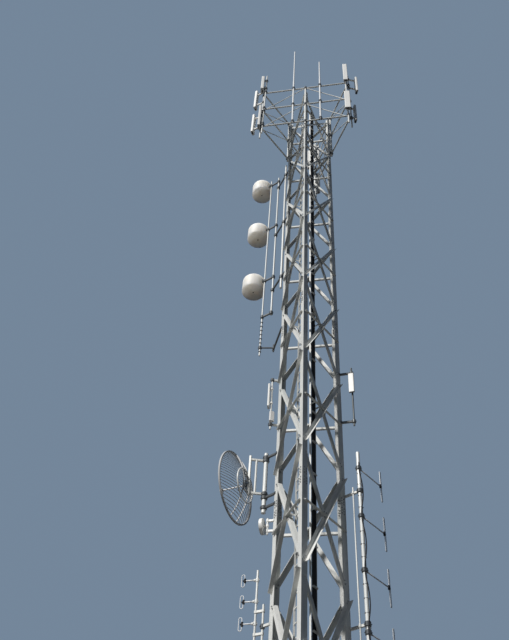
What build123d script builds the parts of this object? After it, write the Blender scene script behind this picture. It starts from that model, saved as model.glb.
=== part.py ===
from build123d import *
import os
from math import atan2, cos, degrees, radians, sin, sqrt

# Three-legged lattice tower with a three-sided antenna head and side-mounted antennas.
# X runs to the right, Y away from the viewer, Z up.
# The origin is the middle of the underside of the near leg's base plate. Lengths are millimetres.

# Tower, with each leg an angle of 60 degrees whose heel points outward
face_width = 1500.0
bay_height = 3050.0
bay_count = 10
section_bays = 2
leg_widths = [200.0, 200.0, 190.0, 175.0, 150.0]
leg_thickness = 12.0
heel_offset = 105.0
splice_drop = 900.0
splice_length = 500.0
splice_margin = 10.0
foot_joint_height = 350.0
top_joint_drop = 300.0

# Base plates
base_diameter = 440.0
base_thickness = 32.0
anchor_circle = 350.0
anchor_hole = 30.0
anchor_count = 4

# Bracing angles, in order of the leg sections, and the plates where they cross
angle_widths = [100.0, 100.0, 90.0, 80.0, 70.0]
angle_thickness = 8.0
centre_plate = 210.0
strut_width = 60.0
strut_lap = 20.0
brace_run = 75.0
brace_edge = 10.0

# Fits and clamps
fit = 0.3
clamp_wall = 12.0
clamp_height = 60.0
clamp_reach = 95.0
arm_width = 50.0

# Ladders inside the tower
ladder_standoff = 150.0
ladder_bottom = 1200.0
ladder_top_drop = 900.0
rail_thickness = 10.0
rail_depth = 45.0
rung_pitch = 305.0
rung_size = 20.0
cable_ladder_width = 200.0
cable_ladder_place = 520.0
climb_ladder_width = 300.0
climb_ladder_place = 460.0
cable_diameter = 28.0
cable_count = 5
cable_pitch = 31.0

# Antenna head
frame_half_width = 1700.0
frame_offset = 150.0
bar_levels = [27700.0, 29150.0, 30620.0]
bar_diameter = 60.3
post_diameter = 73.0
post_bottom = 27500.0
post_overrun = 110.0
brace_diameter = 33.7
frame_clamp_levels = [27820.0, 29300.0]
end_pipe_diameter = 60.3
end_pipe_inset = 40.0
front_pipe_span = (27050.0, 32150.0)
side_pipe_span = (27000.0, 31500.0)
panel_radius = 25.0
panel_clamp_share = 0.18

# Panel antennas of each corner: frame, end, heading, arm, bottom, (length, width, depth)
corner_panels = {
    "panels_left": [
        ("near", -1, 190, 60, 30720, (1150, 260, 130)),
        ("near", -1, 190, 60, 27520, (1650, 240, 100)),
        ("left", 1, 165, 260, 29750, (1480, 200, 110)),
        ("left", 1, 165, 260, 27650, (1400, 200, 100)),
    ],
    "panels_right": [
        ("near", 1, -85, 60, 30420, (1500, 180, 110)),
        ("near", 1, -85, 60, 27930, (1400, 220, 110)),
        ("right", -1, 20, 260, 30150, (1250, 200, 90)),
        ("right", -1, 20, 90, 27550, (1200, 180, 90)),
    ],
    "panels_rear": [
        ("right", 1, 75, 60, 29900, (1450, 240, 120)),
        ("right", 1, 75, 60, 27500, (1450, 240, 120)),
        ("left", -1, 105, 60, 29500, (1450, 240, 120)),
    ],
}

# Whip rods on the front frame, each as (place along the bars, top)
whips = [(-490.0, 34400.0), (600.0, 32900.0)]
whip_base_diameter = 70.0
whip_diameter = 60.0
whip_tip_diameter = 50.0
whip_base_top = 31200.0
whip_bottom = 27600.0

# Three-bay antenna beside the left leg: pipe and mast out from the heel, feed pole out from the mast
fm_heading = 124.7
fm_leg_pipe_diameter = 76.1
fm_leg_pipe_place = 182.0
fm_leg_pipe_span = (19720.0, 27350.0)
fm_mast_diameter = 60.3
fm_mast_place = 821.0
fm_mast_span = (19070.0, 27360.0)
fm_feed_heading = 155.0
fm_feed_diameter = 48.3
fm_feed_place = 350.0
fm_feed_span = (17380.0, 27400.0)
fm_standoff_levels = [20285.0, 23410.0, 26630.0]
fm_low_level = 19150.0
fm_foot_heading = 113.0
fm_foot_reach = 944.0
fm_foot_level = 17640.0
fm_stub_diameter = 48.3
fm_stub_span = (17560.0, 17860.0)
fm_link_level = 17725.0
fm_link_width = 34.0
radome_diameter = 780.0
radome_height = 645.0
radome_gap = 38.0
radome_levels = [20990.0, 24035.0, 27080.0]
radome_rim = 12.0
radome_rim_height = 30.0
radome_dome = 70.0
saddle_size = 140.0
saddle_thickness = 18.0
saddle_thickness = 18.0

# Panel and radio unit at mid height on the left leg: heading and distance from the leg
left_pipe_heading = 180.0
left_pipe_place = 270.0
left_pipe_span = (13750.0, 15550.0)
left_pipe_arms = [13900.0, 15480.0]
side_pipe_diameter = 48.3
side_panel_arm = 20.0
left_panel = (185.0, 14500.0, (790.0, 165.0, 60.0))
left_radio = (300.0, 13960.0, (310.0, 130.0, 70.0))

# Panel at mid height on the right leg
right_pipe_heading = 4.0
right_pipe_place = 401.0
right_pipe_span = (13720.0, 15750.0)
right_pipe_arms = [13860.0, 15560.0]
right_panel = (-100.0, 14810.0, (660.0, 150.0, 60.0))

# Grid dish on a mast beside the left leg
dish_mast_heading = 149.0
dish_mast_place = 430.0
dish_mast_diameter = 108.0
dish_mast_span = (11380.0, 13120.0)
dish_mast_arms = [11520.0, 11800.0, 12990.0]
dish_heading = 165.0
dish_level = 12140.0
dish_reach = 410.0
dish_side = 200.0
dish_radius = 900.0
dish_focus = 720.0
dish_bar_count = 26
dish_bar_thickness = 6.0
dish_bar_depth = 18.0
dish_rim_width = 40.0
dish_rib_place = 150.0
dish_rib_depth = 30.0
dish_rib_thickness = 12.0
dish_cross_levels = [-200.0, 250.0]
dish_cross_size = 40.0
dish_beam_size = 50.0
dish_beam_span = (11840.0, 13010.0)
dish_beam_arms = [11910.0, 12900.0]
dish_strut_share = 0.6
dish_strut_diameter = 55.0
feed_boom_diameter = 34.0
feed_flange_diameter = 60.0
feed_flange_thickness = 10.0
feed_length = 640.0
feed_head_diameter = 120.0
feed_head_length = 70.0

# Small covered dish under it
small_pipe_heading = 165.0
small_pipe_place = 235.0
small_pipe_span = (10700.0, 11120.0)
small_pipe_arms = [10790.0, 11060.0]
small_dish_heading = 172.0
small_dish_level = 10925.0
small_dish_diameter = 380.0
small_dish_depth = 75.0
small_dish_dome = 30.0
small_dish_arm = 60.0

# Four-dipole array on the left leg
left_support_heading = 148.0
left_support_place = 287.0
left_support_span = (7830.0, 9080.0)
left_support_arms = [7950.0, 8600.0]
left_dipole_mast_heading = 154.0
left_dipole_mast_place = 462.0
left_dipole_mast_span = (7900.0, 9900.0)
left_dipole_mast_arms = [8450.0, 8940.0]
left_dipole_levels = [8200.0, 8690.0, 9180.0, 9670.0]
left_dipole_heading = 176.0
left_dipole_boom = 280.0
left_dipole_loop = (290.0, 85.0, 12.0)

right_mast_heading = -19.0
right_mast_place = 469.0
right_mast_diameter = 88.9
right_mast_span = (7500.0, 12720.0)
right_mast_arms = [8460.0, 11620.0]
right_support_place = 300.0
right_support_diameter = 33.7
right_support_span = (7600.0, 11760.0)
right_dipole_levels = [8290.0, 9630.0, 10950.0, 12260.0]
right_dipole_heading = 58.0
right_dipole_boom = 900.0
right_dipole_loop = (880.0, 60.0, 14.0)
boom_diameter = 30.0
mast_cable_heading = -30.0
mast_cable_diameter = 22.0
mast_cable_span = (7560.0, 12400.0)


def section_levels():
    """Heights of the section ends, from the ground to the top."""
    levels = [0.0]
    for index in range(1, len(leg_widths)):
        levels.append(index * section_bays * bay_height - splice_drop)
    levels.append(bay_count * bay_height)
    return levels


def section_at(height):
    """Index of the leg section that covers a height."""
    levels = section_levels()
    index = 0
    while index < len(leg_widths) - 1 and height >= levels[index + 1]:
        index += 1
    return index


def joint_level(index):
    """Height of the bracing joint number index, counted from the foot."""
    if index == 0:
        return foot_joint_height
    if index == bay_count:
        return bay_count * bay_height - top_joint_drop
    return index * bay_height


def strut_level(index):
    """Height of the horizontal strut of a bay."""
    return (joint_level(index) + joint_level(index + 1)) / 2


tower_height = bay_count * bay_height
near_leg = Vector(0, 0, 0)
left_leg = Vector(-face_width / 2, face_width * sqrt(3) / 2, 0)
right_leg = Vector(face_width / 2, face_width * sqrt(3) / 2, 0)
legs = [near_leg, left_leg, right_leg]
leg_names = {"near": near_leg, "left": left_leg, "right": right_leg}
tower_axis = Vector(0, face_width / sqrt(3), 0)


def face_plane(first, second):
    """Local frame of a face: X along it from the first leg, Y outward from mid flange, Z up."""
    along = (second - first).normalized()
    outside = Vector(0, 0, 1).cross(along)
    origin = first + outside * (heel_offset / 2 - leg_thickness / 2)
    return Plane(origin=origin, x_dir=along, z_dir=(0, 0, 1))


# Each face, with its legs in the order that makes the local Y point outward
face_front_left = face_plane(near_leg, left_leg)
face_back = face_plane(left_leg, right_leg)
face_front_right = face_plane(right_leg, near_leg)


def heading(angle):
    """Horizontal unit vector at an angle from +X, in degrees."""
    return Vector(cos(radians(angle)), sin(radians(angle)), 0)


def at(point, height):
    """A plan point raised to a height."""
    return Vector(point.X, point.Y, height)


def rod(start, end, diameter):
    """Round bar between two points."""
    axis = end - start
    plane = Plane(origin=start, z_dir=axis.normalized())
    return plane * extrude(Circle(diameter / 2), axis.length)


def column(point, bottom, top, diameter):
    """Solid upright cylinder on a plan point."""
    return rod(at(point, bottom), at(point, top), diameter)


def block(centre, angle, length, width, height):
    """Box about a centre, with its length along a horizontal heading."""
    plane = Plane(origin=centre, x_dir=heading(angle), z_dir=(0, 0, 1))
    return plane * Box(length, width, height)


def angle_between(first, second):
    """Heading in degrees from one plan point to another."""
    return degrees(atan2(second.Y - first.Y, second.X - first.X))


def prism(corners, bottom, top):
    """Upright prism on plan points."""
    outline = make_face(Polyline(*[at(corner, bottom) for corner in corners], close=True))
    return extrude(outline, top - bottom, dir=(0, 0, 1))


def outward(leg):
    """Heading in degrees from the tower's axis through a leg."""
    return angle_between(tower_axis, leg)


def heel(leg):
    """Plan point of the outer edge of a leg's angle."""
    return leg + heading(outward(leg)) * heel_offset


def heel_wedge(leg, level, margin, reach, height):
    """Upright wedge over the outside of a leg's angle, grown by a margin."""
    out = outward(leg)
    tip = heel(leg) + heading(out) * (2 * margin)
    corners = [tip, tip + heading(out + 150) * reach, tip + heading(out - 150) * reach]
    return prism(corners, level - height / 2, level + height / 2)


def heel_clamp(leg, level):
    """Bent plate over the heel of a leg, before the leg is cut from it."""
    return heel_wedge(leg, level, fit + clamp_wall, clamp_reach, clamp_height)


def heel_cutter(leg, level):
    """Cutter for the leg inside its clamp, with the fit round it."""
    return heel_wedge(leg, level, fit, 3 * clamp_reach, 2 * clamp_height)


def clamp_disc(point, level, diameter):
    """Body of a clamp round a pipe, before its bore is cut."""
    outer = diameter + 2 * (fit + clamp_wall)
    return column(point, level - clamp_height / 2, level + clamp_height / 2, outer)


def clamp_bore(point, level, diameter):
    """Cutter for the pipe that a clamp holds, with the fit round it."""
    return column(point, level - clamp_height, level + clamp_height, diameter + 2 * fit)


def clamp_arm(stops, level, leg=None, width=arm_width):
    """Level arm from a leg's heel, or from the first pipe, with a clamp on each (plan point, diameter)."""
    start = at(stops[0][0] if leg is None else heel(leg), level)
    end = at(stops[-1][0], level)
    middle = (start + end) * 0.5
    body = block(middle, angle_between(start, end), (end - start).length, width, width)
    for point, diameter in stops:
        body += clamp_disc(point, level, diameter)
    if leg is not None:
        body += heel_clamp(leg, level)
        body -= heel_cutter(leg, level)
    for point, diameter in stops:
        body -= clamp_bore(point, level, diameter)
    return body


# Legs


def leg_outline(leg, width):
    """Plan corners of a leg's 60-degree angle, whose heel points out of the tower."""
    out = outward(leg)
    start = heel(leg)
    flanges = []
    for side in (1, -1):
        tip = start + heading(out + side * 150) * width
        flanges.append([tip, tip + heading(out + side * 240) * leg_thickness])
    inside = start - heading(out) * (2 * leg_thickness)
    return [start, *flanges[0], inside, *reversed(flanges[1])]


def splice_plate(leg, side, width, level):
    """Plate on the inner face of one flange, across the joint between two leg sections."""
    along = heading(outward(leg) + side * 150)
    inward = heading(outward(leg) + side * 240) * leg_thickness
    near = heel(leg) + along * (2 * sqrt(3) * leg_thickness + splice_margin) + inward
    far = heel(leg) + along * (width - splice_margin) + inward
    corners = [near, far, far + inward, near + inward]
    return prism(corners, level - splice_length / 2, level + splice_length / 2)


def base_plate(leg):
    """Round plate under a leg, with anchor holes."""
    plate = column(leg, 0, base_thickness, base_diameter)
    for index in range(anchor_count):
        place = leg + heading(45 + 360 / anchor_count * index) * (anchor_circle / 2)
        plate -= column(place, 0, base_thickness, anchor_hole)
    return plate


def leg_section(leg, index):
    """One length of a leg, with its base plate or the splice plates at its top."""
    bottom, top = section_levels()[index:index + 2]
    body = prism(leg_outline(leg, leg_widths[index]), bottom, top)
    if index == 0:
        body += base_plate(leg)
    if index < len(leg_widths) - 1:
        for side in (1, -1):
            body += splice_plate(leg, side, leg_widths[index + 1], top)
    return body


# Bracing


def angle_bar(start, end, side, width):
    """Steel angle between two points (x, z) of a face; side is +1 on the outer face, -1 on the inner."""
    seat = side * leg_thickness / 2
    first = Vector(start[0], seat, start[1])
    axis = Vector(end[0], seat, end[1]) - first
    plane = Plane(origin=first, x_dir=(0, side, 0), z_dir=axis.normalized())
    profile = Polygon(
        (0, -width / 2),
        (width, -width / 2),
        (width, angle_thickness - width / 2),
        (angle_thickness, angle_thickness - width / 2),
        (angle_thickness, width / 2),
        (0, width / 2),
        align=None,
    )
    return plane * extrude(profile, axis.length)


def brace_level(low, high, x):
    """Height at x of the diagonal that falls from the first leg's heel to the second's."""
    share = (x + brace_run) / (face_width + 2 * brace_run)
    return high - share * (high - low)


def brace_bay(index):
    """Crossed diagonals, strut and centre plate of one bay, in the frame of its face."""
    low = joint_level(index)
    high = joint_level(index + 1)
    middle = strut_level(index)
    width = angle_widths[section_at(middle)]
    past = heel_offset * sqrt(3) / 2
    outer = width / 2 + brace_edge - past
    inner = (3 * leg_thickness + width) / sqrt(3) + width / 2 + brace_edge - past
    far_outer = face_width - outer
    far_inner = face_width - inner
    start = (outer, brace_level(low, high, outer))
    bay = angle_bar(start, (far_outer, brace_level(low, high, far_outer)), 1, width)
    start = (inner, brace_level(low, high, far_inner))
    bay += angle_bar(start, (far_inner, brace_level(low, high, inner)), -1, width)
    bay += angle_bar((-strut_lap, middle), (face_width + strut_lap, middle), 1, strut_width)
    centre = Pos(face_width / 2, 0, middle)
    bay += centre * Box(centre_plate, leg_thickness, centre_plate)
    return bay


def brace_face(plane, bays):
    """Bracing of one whole side of the tower."""
    return Compound(children=[plane * bay for bay in bays])


# Ladders


def ladder_brackets(place, width):
    """Flat bars from a ladder's rails out to the struts of its face."""
    brackets = []
    seat = leg_thickness / 2
    for index in range(1, bay_count):
        for side in (-1, 1):
            x = place + side * (width / 2 + rail_thickness)
            length = ladder_standoff + seat
            middle = Pos(x, seat - length / 2, strut_level(index))
            brackets.append(middle * Box(rail_thickness, length, rail_depth))
    return brackets


def ladder(place, width):
    """Ladder inside a face, in the frame of that face, with its brackets."""
    top = tower_height - ladder_top_drop
    length = top - ladder_bottom
    middle = (top + ladder_bottom) / 2
    body = None
    for side in (-1, 1):
        rail = Pos(place + side * width / 2, -ladder_standoff, middle)
        rail *= Box(rail_thickness, rail_depth, length)
        body = rail if body is None else body + rail
    rungs = []
    for step in range(1, int(length / rung_pitch)):
        height = ladder_bottom + step * rung_pitch
        rungs.append(Pos(place, -ladder_standoff, height) * Box(width, rung_size, rung_size))
    return body + rungs + ladder_brackets(place, width)


def feeder_cables():
    """Row of stiff coaxial cables on the outer side of the cable ladder's rungs."""
    top = tower_height - ladder_top_drop
    y = -ladder_standoff + rung_size / 2 + fit + cable_diameter / 2
    place = face_width - cable_ladder_place
    cables = []
    for index in range(cable_count):
        x = place + (index - (cable_count - 1) / 2) * cable_pitch
        cables.append(rod(Vector(x, y, ladder_bottom), Vector(x, y, top), cable_diameter))
    return Compound(children=cables)


# Antenna head



def frame_point(leg, along, out=0.0):
    """Plan point on a sector frame: along its bars to the right seen from outside, and out from them."""
    out_dir = heading(outward(leg))
    along_dir = heading(outward(leg) + 90)
    return leg + out_dir * (frame_offset + out) + along_dir * along


def sector_frame(leg):
    """Flat frame of three level bars, a centre post and bracing, clamped to one leg."""
    middle = frame_point(leg, 0)
    ends = [frame_point(leg, side * frame_half_width) for side in (-1, 1)]
    body = column(middle, post_bottom, bar_levels[-1] + post_overrun, post_diameter)
    for level in bar_levels:
        body += rod(at(ends[0], level), at(ends[1], level), bar_diameter)
    brace_end = frame_half_width - 2 * bar_diameter
    for low, high in zip(bar_levels[:-1], bar_levels[1:]):
        for side in (-1, 1):
            tip = at(frame_point(leg, side * brace_end), low)
            body += rod(at(middle, high), tip, brace_diameter)
    length = (middle - heel(leg)).length
    for level in frame_clamp_levels:
        centre = at((heel(leg) + middle) * 0.5, level)
        body += block(centre, outward(leg), length, arm_width, arm_width)
        body += heel_clamp(leg, level)
    for level in frame_clamp_levels:
        body -= heel_cutter(leg, level)
    return body


def end_pipe_place(leg, side):
    """Plan point of the upright pipe at one end of a sector frame."""
    gap = bar_diameter / 2 + end_pipe_diameter / 2 + fit
    return frame_point(leg, side * (frame_half_width - end_pipe_inset), gap)


def panel(pipe, diameter, angle, arm, bottom, size):
    """Panel antenna (length, width, depth) on two arms, held off an upright pipe at a heading."""
    length, width, depth = size
    reach = diameter / 2 + fit + arm
    centre = at(pipe, bottom + length / 2) + heading(angle) * (reach + depth / 2)
    plane = Plane(origin=centre, x_dir=heading(angle), z_dir=(0, 0, 1))
    outline = RectangleRounded(depth, width, min(panel_radius, depth / 3))
    body = plane * extrude(outline, length / 2, both=True)
    levels = [bottom + share * length for share in (panel_clamp_share, 1 - panel_clamp_share)]
    for level in levels:
        start = at(pipe, level)
        end = start + heading(angle) * (reach + depth / 4)
        body += block((start + end) * 0.5, angle, (end - start).length, arm_width, arm_width)
        body += clamp_disc(pipe, level, diameter)
    for level in levels:
        body -= clamp_bore(pipe, level, diameter)
    return body


def whip(along, top):
    """Whip rod on the front frame: a base tube clamped across the bars and a tapered rod."""
    gap = bar_diameter / 2 + whip_base_diameter / 2 + fit
    place = frame_point(near_leg, along, gap)
    profile = Polygon(
        (0, whip_bottom),
        (whip_base_diameter / 2, whip_bottom),
        (whip_base_diameter / 2, whip_base_top),
        (whip_diameter / 2, whip_base_top),
        (whip_tip_diameter / 2, top),
        (0, top),
        align=None,
    )
    return Pos(place.X, place.Y, 0) * revolve(Plane.XZ * profile, Axis.Z)


# Side-mounted three-bay antenna


def fm_place(distance):
    """Plan point at a distance out from the left leg's heel, towards the antenna's mast."""
    return heel(left_leg) + heading(fm_heading) * distance


def fm_out(distance):
    """Plan point at a distance out from the mast, towards the radomes' common axis."""
    return fm_place(fm_mast_place) + heading(fm_feed_heading) * distance


def radome_wall():
    """Distance of the radomes' walls from the mast."""
    return fm_feed_place + fm_feed_diameter / 2 + radome_gap


def radome(level):
    """Closed drum cover with a rim round its flat bottom and a low domed top."""
    radius = radome_diameter / 2
    low = -radome_height / 2
    shoulder = radome_height / 2 - radome_dome
    outline = Polyline(
        (0, low),
        (radius + radome_rim, low),
        (radius + radome_rim, low + radome_rim_height),
        (radius, low + radome_rim_height),
        (radius, shoulder),
    )
    top = TangentArc((0, radome_height / 2), (radius, shoulder), tangent=(1, 0))
    closing = Line((0, radome_height / 2), (0, low))
    profile = make_face(outline + top + closing)
    place = fm_out(radome_wall() + radius)
    return Pos(place.X, place.Y, level) * revolve(Plane.XZ * profile, Axis.Z)


def radome_arm(level):
    """Arm from the mast past the feed pole to a saddle on a radome's wall."""
    stops = [(fm_out(0), fm_mast_diameter), (fm_out(fm_feed_place), fm_feed_diameter)]
    start = at(fm_out(0), level)
    end = at(fm_out(radome_wall()), level)
    length = (end - start).length
    body = block((start + end) * 0.5, fm_feed_heading, length, arm_width, arm_width)
    body += block(end, fm_feed_heading, 2 * saddle_thickness, saddle_size, saddle_size)
    for point, diameter in stops:
        body += clamp_disc(point, level, diameter)
    for point, diameter in stops:
        body -= clamp_bore(point, level, diameter)
    axis = fm_out(radome_wall() + radome_diameter / 2)
    cover = radome_diameter + 2 * fit
    body -= column(axis, level - saddle_size, level + saddle_size, cover)
    return body


def fm_foot():
    """Foot of the antenna: an arm from the leg to a short stub and a thin arm on to the feed pole."""
    place = heel(left_leg) + heading(fm_foot_heading) * fm_foot_reach
    stub = (place, fm_stub_diameter)
    feed = (fm_out(fm_feed_place), fm_feed_diameter)
    long_arm = clamp_arm([stub], fm_foot_level, left_leg)
    thin_arm = clamp_arm([stub, feed], fm_link_level, width=fm_link_width)
    return [column(place, *fm_stub_span, fm_stub_diameter), long_arm, thin_arm]


def fm_brackets():
    """Stand-off arms of the antenna, from the leg and from the mast."""
    leg_pipe = (fm_place(fm_leg_pipe_place), fm_leg_pipe_diameter)
    mast = (fm_place(fm_mast_place), fm_mast_diameter)
    feed = (fm_out(fm_feed_place), fm_feed_diameter)
    arms = [clamp_arm([leg_pipe, mast], level, left_leg) for level in fm_standoff_levels]
    arms += [radome_arm(level) for level in radome_levels]
    arms.append(clamp_arm([mast, feed], fm_low_level))
    return arms + fm_foot()


# Grid dish


def dish_mast_point():
    """Plan point of the dish's mast."""
    return left_leg + heading(dish_mast_heading) * dish_mast_place


def dish_plane():
    """Frame of the dish at its vertex: X sideways, Y up, Z along the boresight."""
    boresight = heading(dish_heading)
    sideways = Vector(0, 0, 1).cross(boresight)
    vertex = at(dish_mast_point(), dish_level) + boresight * dish_reach + sideways * dish_side
    return Plane(origin=vertex, x_dir=sideways, z_dir=boresight)


def dish_curve(first, second):
    """Depth of the paraboloid at two coordinates across it."""
    return (first**2 + second**2) / (4 * dish_focus)


def dish_strip(offset, back, front):
    """Curved strip face across the dish at an offset, between two depths from its surface."""
    half = sqrt((dish_radius - dish_rim_width / 3) ** 2 - offset**2)
    middle = dish_curve(offset, 0)
    end = dish_curve(offset, half)
    rear = ThreePointArc((-half, end + back), (0, middle + back), (half, end + back))
    face = ThreePointArc((half, end + front), (0, middle + front), (-half, end + front))
    right = Line((half, end + back), (half, end + front))
    left = Line((-half, end + front), (-half, end + back))
    return make_face(rear + right + face + left)


def grid_reflector():
    """Level parabolic bars in a round rim, on two upright ribs joined by cross bars."""
    pitch = 2 * dish_radius / dish_bar_count
    pieces = []
    for index in range(dish_bar_count):
        offset = (index + 0.5) * pitch - dish_radius
        strip = Plane(origin=(0, offset, 0), x_dir=(1, 0, 0), z_dir=(0, -1, 0))
        face = dish_strip(offset, 0, dish_bar_depth)
        pieces.append(strip * extrude(face, dish_bar_thickness / 2, both=True))
    for side in (-1, 1):
        offset = side * dish_rib_place
        strip = Plane(origin=(offset, 0, 0), x_dir=(0, 1, 0), z_dir=(1, 0, 0))
        face = dish_strip(offset, -dish_rib_depth, dish_bar_depth / 3)
        pieces.append(strip * extrude(face, dish_rib_thickness / 2, both=True))
    rim_level = dish_curve(dish_radius, 0) + dish_bar_depth / 2
    rim = Circle(dish_radius + dish_rim_width / 2) - Circle(dish_radius - dish_rim_width / 2)
    pieces.append(Pos(0, 0, rim_level) * extrude(rim, dish_rim_width / 2, both=True))
    for level in dish_cross_levels:
        length = 2 * dish_rib_place + dish_rib_thickness
        middle = Pos(0, level, dish_cross_size / 2 - dish_rib_depth - dish_rib_thickness)
        pieces.append(middle * Box(length, dish_cross_size, dish_cross_size))
    reflector = pieces[-1]
    return dish_plane() * (reflector + pieces[:-1])


def dish_beam_face():
    """Distance behind the vertex where the back beam meets the reflector's cross bars."""
    return dish_rib_depth + dish_rib_thickness


def dish_back_frame():
    """Upright beam behind the reflector, with two arms clamped round the mast and a strut."""
    plane = dish_plane()
    boresight = heading(dish_heading)
    back = dish_beam_face() + dish_beam_size / 2
    beam = at(plane.origin, 0) - boresight * back
    mast = dish_mast_point()
    bottom, top = dish_beam_span
    middle = at(beam, (bottom + top) / 2)
    body = block(middle, dish_heading, dish_beam_size, dish_beam_size, top - bottom)
    angle = angle_between(mast, beam)
    length = (mast - beam).length
    for level in dish_beam_arms:
        centre = at((mast + beam) * 0.5, level)
        body += block(centre, angle, length, arm_width, arm_width)
        body += clamp_disc(mast, level, dish_mast_diameter)
    strut = mast + (beam - mast) * dish_strut_share
    body += column(strut, dish_beam_arms[0], dish_beam_arms[1], dish_strut_diameter)
    for level in dish_beam_arms:
        body -= clamp_bore(mast, level, dish_mast_diameter)
    return body


def dish_feed():
    """Feed boom from the back beam through the grid to a head at the focus."""
    start = -dish_beam_face()
    profile = Polygon(
        (0, start),
        (feed_flange_diameter / 2, start),
        (feed_flange_diameter / 2, start + feed_flange_thickness),
        (feed_boom_diameter / 2, start + feed_flange_thickness),
        (feed_boom_diameter / 2, feed_length),
        (feed_head_diameter / 2, feed_length),
        (feed_head_diameter / 2, feed_length + feed_head_length / 2),
        (feed_head_diameter / 3, feed_length + feed_head_length),
        (0, feed_length + feed_head_length),
        align=None,
    )
    return dish_plane() * revolve(Plane.XZ * profile, Axis.Z)


# Side-mounted pipes, dipoles and the small dish


def pipe_mount(leg, place, span, levels):
    """Upright pipe beside a leg and the level arms that clamp it there."""
    arms = [clamp_arm([(place, side_pipe_diameter)], level, leg) for level in levels]
    return [column(place, *span, side_pipe_diameter)] + arms


def small_dish(pipe):
    """Covered dish: a short drum with a domed front, on an arm clamped to an upright pipe."""
    radius = small_dish_diameter / 2
    face = side_pipe_diameter / 2 + fit + small_dish_arm
    outline = Polyline((0, 0), (radius, 0), (radius, small_dish_depth))
    dome = TangentArc(
        (0, small_dish_depth + small_dish_dome), (radius, small_dish_depth), tangent=(1, 0)
    )
    closing = Line((0, small_dish_depth + small_dish_dome), (0, 0))
    profile = make_face(outline + dome + closing)
    axis = heading(small_dish_heading)
    start = at(pipe, small_dish_level)
    plane = Plane(origin=start + axis * face, z_dir=axis)
    body = plane * revolve(Plane.XZ * profile, Axis.Z)
    reach = face + small_dish_depth / 2
    body += block(start + axis * (reach / 2), small_dish_heading, reach, arm_width, arm_width)
    body += clamp_disc(pipe, small_dish_level, side_pipe_diameter)
    return body - clamp_bore(pipe, small_dish_level, side_pipe_diameter)


def dipole(mast, diameter, angle, level, boom, loop):
    """Folded dipole (height, width, bar): an upright loop on a boom clamped to a mast."""
    height, width, bar = loop
    start = at(mast, level)
    tip = start + heading(angle) * boom
    body = rod(start, tip, boom_diameter)
    ring = SlotOverall(height, width) - SlotOverall(height - 2 * bar, width - 2 * bar)
    centre = start + heading(angle) * (boom + width / 2 - bar / 2)
    sideways = heading(angle).cross(Vector(0, 0, 1))
    plane = Plane(origin=centre, x_dir=(0, 0, 1), z_dir=sideways)
    body += plane * extrude(ring, bar / 2, both=True)
    body += clamp_disc(mast, level, diameter)
    return body - clamp_bore(mast, level, diameter)


def mast_cable(mast):
    """Stiff coaxial cable up the side of the right mast, tied to the clamps of its dipoles."""
    reach = right_mast_diameter / 2 + 2 * fit + clamp_wall + mast_cable_diameter / 2
    place = mast + heading(mast_cable_heading) * reach
    return column(place, *mast_cable_span, mast_cable_diameter)


os.makedirs("parts", exist_ok=True)


def save(name, shapes):
    """Write one sub-part, made of one solid or several, to its own file."""
    if isinstance(shapes, (list, tuple)):
        shapes = Compound(children=list(shapes))
    export_step(shapes, f"parts/{name}.step")


# Structure
for number in range(len(leg_widths)):
    save(f"leg_section_{number + 1}", [leg_section(leg, number) for leg in legs])
brace_bays = [brace_bay(index) for index in range(bay_count)]
save("bracing_front_left", brace_face(face_front_left, brace_bays))
save("bracing_front_right", brace_face(face_front_right, brace_bays))
save("bracing_back", brace_face(face_back, brace_bays))
save("cable_ladder", face_front_right * ladder(face_width - cable_ladder_place, cable_ladder_width))
save("feeder_cables", face_front_right * feeder_cables())
save("climbing_ladder", face_front_left * ladder(climb_ladder_place, climb_ladder_width))

# Head
save("sector_frame_front", sector_frame(near_leg))
save("sector_frame_left", sector_frame(left_leg))
save("sector_frame_right", sector_frame(right_leg))
end_pipes = []
for leg in legs:
    for side in (-1, 1):
        span = front_pipe_span if leg is near_leg else side_pipe_span
        end_pipes.append(column(end_pipe_place(leg, side), *span, end_pipe_diameter))
save("end_pipes", end_pipes)
for name, panels in corner_panels.items():
    bodies = []
    for leg_name, side, *rest in panels:
        pipe = end_pipe_place(leg_names[leg_name], side)
        bodies.append(panel(pipe, end_pipe_diameter, *rest))
    save(name, bodies)
save("whip_rods", [whip(*rod_size) for rod_size in whips])

# Three-bay antenna
save("fm_leg_pipe", column(fm_place(fm_leg_pipe_place), *fm_leg_pipe_span, fm_leg_pipe_diameter))
save("fm_mast", column(fm_place(fm_mast_place), *fm_mast_span, fm_mast_diameter))
save("fm_feed_pole", column(fm_out(fm_feed_place), *fm_feed_span, fm_feed_diameter))
save("fm_brackets", fm_brackets())
for number, level in enumerate(radome_levels):
    save(f"fm_radome_{number + 1}", radome(level))

# Mid-height panels
left_pipe = left_leg + heading(left_pipe_heading) * left_pipe_place
save("left_panel_mount", pipe_mount(left_leg, left_pipe, left_pipe_span, left_pipe_arms))
angle, bottom, size = left_panel
save("left_panel", panel(left_pipe, side_pipe_diameter, angle, side_panel_arm, bottom, size))
angle, bottom, size = left_radio
save("left_radio_unit", panel(left_pipe, side_pipe_diameter, angle, side_panel_arm, bottom, size))

right_pipe = right_leg + heading(right_pipe_heading) * right_pipe_place
save("right_panel_mount", pipe_mount(right_leg, right_pipe, right_pipe_span, right_pipe_arms))
angle, bottom, size = right_panel
save("right_panel", panel(right_pipe, side_pipe_diameter, angle, side_panel_arm, bottom, size))

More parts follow.
